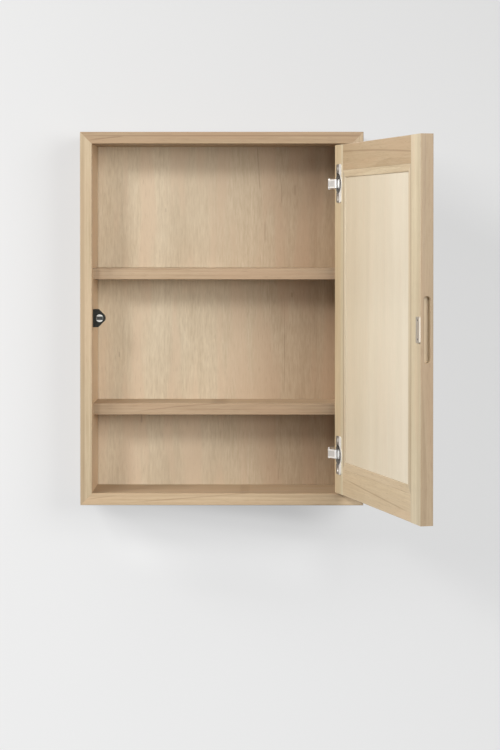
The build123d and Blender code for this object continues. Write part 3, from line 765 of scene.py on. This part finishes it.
def backdrop_material(name, glow, across):
    """Pale sheet that is only there in front: half lit, so that shadows on it stay soft, and half glow. The
    glow holds painted light and, on the wall, a painted shadow under the cabinet.
    """
    shader = new_material(name)
    front = shader.calc("SUBTRACT", 1.0, shader.node("NewGeometry", {}).outputs["Backfacing"])
    solid = shader.calc("MULTIPLY", shader.seen(), front)
    x, _, z = shader.split(shader.object_space())
    # Painted light: the glow is painted darker to the right and paler lower down
    tone = shader.calc("MULTIPLY_ADD", x, across, 1.0)
    tone = shader.calc("MULTIPLY_ADD", shader.calc("SUBTRACT", middle_z, z), painted_light_down, tone)
    # Painted shadow under the cabinet, with painted light below it
    tone = shader.calc("ADD", tone, painted_shadow_beneath(shader, x, z))
    limits = {"Value": tone, "Min": glow_limits[0], "Max": glow_limits[1]}
    tone = shader.node("Clamp", limits).outputs[0]
    glowing = shader.node("Emission", {"Color": rgba(glow), "Strength": tone}).outputs[0]
    matt = shader.node("BsdfDiffuse", {"Color": rgba(sheet_colour)}).outputs[0]
    lit = shader.node("AddShader", {0: glowing, 1: matt}).outputs[0]
    clear = shader.node("BsdfTransparent", {}).outputs[0]
    surface = shader.node("MixShader", {0: solid, 1: clear, 2: lit}).outputs[0]
    shader.node("OutputMaterial", {"Surface": surface})
    return shader.owner


def add_sheet(name, corners, glow, across):
    """One flat stage sheet whose front is the side from which its corners run anticlockwise."""
    mesh = bpy.data.meshes.new(name)
    mesh.from_pydata(corners, [], [range(len(corners))])
    mesh.materials.append(backdrop_material(name + "_paint", glow, across))
    add_object(name, mesh)


def add_stage():
    wall = [
        (-wall_half_width, wall_y, floor_z),
        (wall_half_width, wall_y, floor_z),
        (wall_half_width, wall_y, wall_top),
        (-wall_half_width, wall_y, wall_top),
    ]
    floor = [
        (-wall_half_width, -floor_reach, floor_z),
        (wall_half_width, -floor_reach, floor_z),
        (wall_half_width, floor_reach, floor_z),
        (-wall_half_width, floor_reach, floor_z),
    ]
    add_sheet("wall", wall, wall_glow, painted_light_across)
    add_sheet("floor", floor, floor_glow, 0.0)


def add_world():
    """Even room light, with a pale background where the camera or a reflection looks past the stage."""
    world = bpy.data.worlds.new("room")
    shader = Shader(world)
    room = {"Color": rgba(room_colour), "Strength": room_strength}
    ambient = shader.node("Background", room).outputs[0]
    background = shader.node("Background", {"Color": rgba(background_colour)}).outputs[0]
    surface = shader.node("MixShader", {0: shader.seen(), 1: ambient, 2: background}).outputs[0]
    shader.node("OutputWorld", {"Surface": surface})
    bpy.context.scene.world = world


def add_lamps():
    for name, (azimuth, elevation, distance, wide, high, power) in lamps.items():
        data = bpy.data.lights.new(name, "AREA")
        data.shape = "RECTANGLE"
        data.size = wide
        data.size_y = high
        data.energy = power
        data.color = lamp_colour
        turn, rise = math.radians(azimuth), math.radians(elevation)
        away = Vector((math.sin(turn) * math.cos(rise), -math.cos(turn) * math.cos(rise), math.sin(rise)))
        lamp = add_object(name, data)
        lamp.location = lamp_target + distance * away
        lamp.rotation_euler = away.to_track_quat("Z", "Y").to_euler()


# Finger pull in the door's free edge, and the share of that edge's tone painted inside it as shade
pull_depth = 0.010
pull_through = (0.1412, 0.1566)
pull_shade_share = 0.16

# Looks of the boards. A dark line is (place, span, depth) and may add its width, slope and bend.
board_looks = {
    "top_board": dict(
        grain="x", colour=(0.350, 0.251, 0.156), seed=0.11, mitred=True, fibre_amount=0.6,
        lines=((0.0033, (-0.30, 0.34), 0.45, 0.0020), (-0.0002, (-0.216, -0.150), 0.6, 0.0011, 0.103)),
    ),
    "bottom_board": dict(
        grain="x", colour=(0.492, 0.366, 0.237), seed=0.43, mitred=True, fibre_amount=0.6,
        edge_place=front_y, painted_edge_tone=(1.02, 1.03, 1.02),
        lines=(
            (-0.5735, (-0.70, 0.70), 0.17, 0.0065),
            (-0.5776, (-0.165, 0.085), 0.42, 0.0011, 0.079),
            (-0.5776, (-0.220, -0.162), 0.38, 0.0010, 0.13),
        ),
    ),
    "left_side": dict(
        grain="z", colour=(0.633, 0.475, 0.317), seed=0.87, mitred=True, fibre_amount=0.6,
        edge_place=front_y, painted_edge_tone=(0.767, 0.815, 0.815),
        # The second, wide line is painted shade over the board's upper part
        lines=((-0.2238, (-1.3, 0.7), 0.36, 0.0062), (-0.218, (-0.33, 0.47), 0.12, 0.06)),
    ),
    "right_side": dict(
        grain="z", colour=(0.50, 0.38, 0.25), seed=1.31, mitred=True,
        edge_place=front_y, painted_edge_tone=(0.82, 0.82, 0.82),
        lines=((0.2226, (0.0015, 0.0070), 0.5, 0.0006),),
    ),
    "upper_shelf": dict(
        grain="x", colour=(0.481, 0.361, 0.240), seed=1.77, fibre_amount=0.6,
        edge_place=shelf_front_y, painted_edge_tone=(0.86, 0.84, 0.83),
        lines=((-0.2114, (-0.2134, -0.04), 0.35, 0.0009),),
    ),
    "lower_shelf": dict(
        grain="x", colour=(0.464, 0.347, 0.230), seed=2.13, fibre_amount=0.6,
        edge_place=shelf_front_y, painted_edge_tone=(0.86, 0.83, 0.81),
        lines=((-0.4314, (-0.155, 0.070), 0.45, 0.0010, 0.0766, -0.331),),
    ),
    "hinge_stile": dict(
        grain="z", colour=(0.590, 0.474, 0.305), far_colour=(0.615, 0.535, 0.375), drift=(0.209, 0.217),
        seed=2.59, door=True, fibre_amount=0.35, streak_amount=0.2,
    ),
    "free_stile": dict(
        grain="z", colour=(0.620, 0.526, 0.368), far_colour=(0.560, 0.470, 0.327), drift=(0.571, 0.583),
        seed=3.07, door=True, fibre_amount=0.35, streak_amount=0.2,
        edge_place=free_edge, painted_edge_tone=(0.662, 0.592, 0.550), sunk=(pull_depth, pull_through, pull_shade_share),
        lines=((0.5512, (-0.62, 0.04), 0.50, 0.0018),),
    ),
    "top_rail": dict(
        grain="x", colour=(0.480, 0.360, 0.226), seed=3.41, door=True, streak_amount=0.15, ring_amount=0.2,
        lines=((-0.0280, (0.130, 0.645), 0.46, 0.0018, -0.0378, -0.0657),),
    ),
    "bottom_rail": dict(
        grain="x", colour=(0.615, 0.488, 0.322), seed=3.83, door=True, streak_amount=0.2, ring_amount=0.2,
        lines=((-0.5486, (0.215, 0.560), 0.5, 0.0016, -0.0435, 0.02),),
    ),
    "top_bead": dict(
        grain="x", colour=(0.61, 0.50, 0.34), seed=4.19, door=True, patch_amount=0.9,
        lines=((-0.0638, (0.205, 0.315), 0.40, 0.0014), (-0.0635, (0.46, 0.60), 0.28, 0.0012)),
    ),
    "bottom_bead": dict(grain="x", colour=(0.60, 0.49, 0.33), seed=4.57, door=True, patch_amount=0.9),
    "hinge_side_bead": dict(
        grain="z", colour=(0.455, 0.368, 0.255), far_colour=(0.615, 0.525, 0.385), drift=(0.2300, 0.2330),
        seed=4.93, door=True, patch_amount=0.9,
    ),
    "free_side_bead": dict(
        grain="z", colour=(0.585, 0.49, 0.347), seed=5.31, door=True, patch_amount=0.9,
        lines=((0.5478, (-1.0, 0.42), 0.38, 0.0030),),
    ),
}

# Veneers of the cabinet's back and of the door's backing
back_veneer = dict(
    # The colour drifts darker to the right: painted shade where the open door shades the panel
    grain="z", colour=(0.665, 0.570, 0.424), far_colour=(0.400, 0.298, 0.196), drift=(-0.085, 0.158),
    seed=6.1, ring_pitch=0.011, ring_amount=0.05, fibre_amount=0.30, fleck_amount=0.50, streak_amount=0.12,
    patch_amount=0.40, blush_amount=0.7, fine=1.6,
    lines=(
        (0.0595, (-0.090, -0.004), 0.35, 0.0015, -0.059),
        (0.0978, (-0.107, -0.067), 0.40, 0.0012),
        (0.1199, (-0.092, -0.070), 0.30, 0.0030),
        (0.0700, (-0.172, -0.130), 0.42, 0.0012),
        (-0.2088, (-0.90, 0.30), 0.40, 0.0034),
        (0.1025, (-0.435, -0.263), 0.32, 0.0012),
        (0.1025, (-0.370, -0.313), 0.45, 0.0014),
        (0.1149, (-0.260, -0.251), 0.45, 0.0016),
        (0.0922, (-0.566, -0.542), 0.35, 0.0012),
        (-0.1356, (-0.470, -0.453), 0.40, 0.0020),
        (-0.1728, (-0.360, -0.350), 0.40, 0.0016),
        (-0.0952, (-0.119, -0.110), 0.35, 0.0016),
        # The last two, wide lines are painted shade over parts of the top bay and of the bottom bay
        (-0.0300, (-0.235, 0.035), 0.20, 0.085),
        (-0.0600, (-0.680, -0.485), 0.17, 0.085),
    ),
)
backing_veneer = dict(
    grain="z", colour=(0.686, 0.596, 0.445), far_colour=(0.780, 0.706, 0.567), drift=(0.22, 0.55),
    door=True, seed=7.3, ring_pitch=0.03, ring_amount=0.06, fibre_amount=0.12, fleck_amount=0.10,
    streak_amount=0.06, patch_amount=0.28, fine=1.4, pore_amount=0.06, blush_amount=0.2,
    # The wide line is painted shade over the panel's upper part
    lines=((0.387, (-0.32, 0.28), 0.15, 0.57),),
)

# Where plating is painted darker, along the door, in height or through the door. The cups and the strike
# screws in their recess get painted shade.
link_recess_along = (0.1655, 0.1850)
link_recess_height = 0.0084
cup_shade_along = (0.10, 0.2075)
strike_face_through = (0.10, 0.1387)
strike_recess_through = (0.1378, 0.17)


def dress(name, material):
    """Gives a CAD piece its material."""
    for slot in cad_nodes[name].material_slots:
        slot.material = material


def dress_wood():
    """Each board has its own material, so that no two have the same grain."""
    for name, look in board_looks.items():
        dress(name, timber(name + "_wood", **look))
    dress("back_panel", timber("back_panel_veneer", **back_veneer))
    dress("backing_panel", timber("backing_panel_veneer", **backing_veneer))
    dress("mitre_splines", plain_ply("tongue_plywood"))


def dress_hinges():
    """Each link has a dull coined recess, and each cup has painted shade on the side of its link."""
    nickel = plated_steel("nickel_plate", bright_steel, dull_steel, 0.34, level_lay, metallic=0.8)
    cup_shade = ((cup_shade_along, None, None), (0.10, 0.085, 0.07), 0.85)
    for level in ("lower", "upper"):
        recess_span = span_about(middle_height(f"{level}_hinge_link"), link_recess_height)
        recess = ((link_recess_along, None, recess_span), (0.55, 0.55, 0.54), 0.75)
        dress(f"{level}_hinge_link", plated_steel(
            f"{level}_link_plate", bright_steel, dull_steel, 0.42, level_lay, metallic=0.45,
            dark_spans=(recess,),
        ))
        dress(f"{level}_hinge_cup", plated_steel(
            f"{level}_cup_plate", bright_steel, dull_steel, 0.36, upright_lay, metallic=0.25,
            dark_spans=(cup_shade,),
        ))
        for part in ("mounting_plate", "hinge_arm", "arm_pin", "cup_pin"):
            dress(f"{level}_{part}", nickel)


def dress_catch():
    """Catch with painted highlights above and below its magnet and painted shade across the middle of its
    cup, and the strike plate that it holds.
    """
    gap = span_about(middle_height("catch_magnet_cup"), highlight_gap)
    band_shade = ((None, None, gap), (0.085, 0.09, 0.08), 0.95)
    dress("catch_magnet_cup", plated_steel(
        "magnet_cup_plate", (0.80, 0.80, 0.78), dull_steel, 0.30, upright_lay, metallic=0.6,
        dark_spans=(band_shade,),
    ))
    strike_face = ((None, strike_face_through, None), (0.42, 0.38, 0.325), 0.92)
    dress("strike_plate", plated_steel(
        "strike_plating", (0.58, 0.54, 0.48), dull_steel, 0.42, upright_lay, metallic=0.35,
        dark_spans=(strike_face,),
    ))
    dress("catch_housing", moulded_plastic("black_moulding"))
    dress("catch_magnet", sintered_magnet("ferrite"))


def dress_rest():
    zinc = plated_steel("zinc_plate", (0.66, 0.67, 0.69), (0.48, 0.49, 0.52), 0.36, even_lay, grime=0.6)
    dress("hanging_plates", zinc)
    dress("mirror_glass", silvered_glass("silvered_glass"))


add_camera()
add_stage()
add_world()
add_lamps()
dress_wood()
dress_hinges()
dress_catch()
dress_rest()
add_screws()
bpy.context.scene.view_settings.view_transform = "Standard"
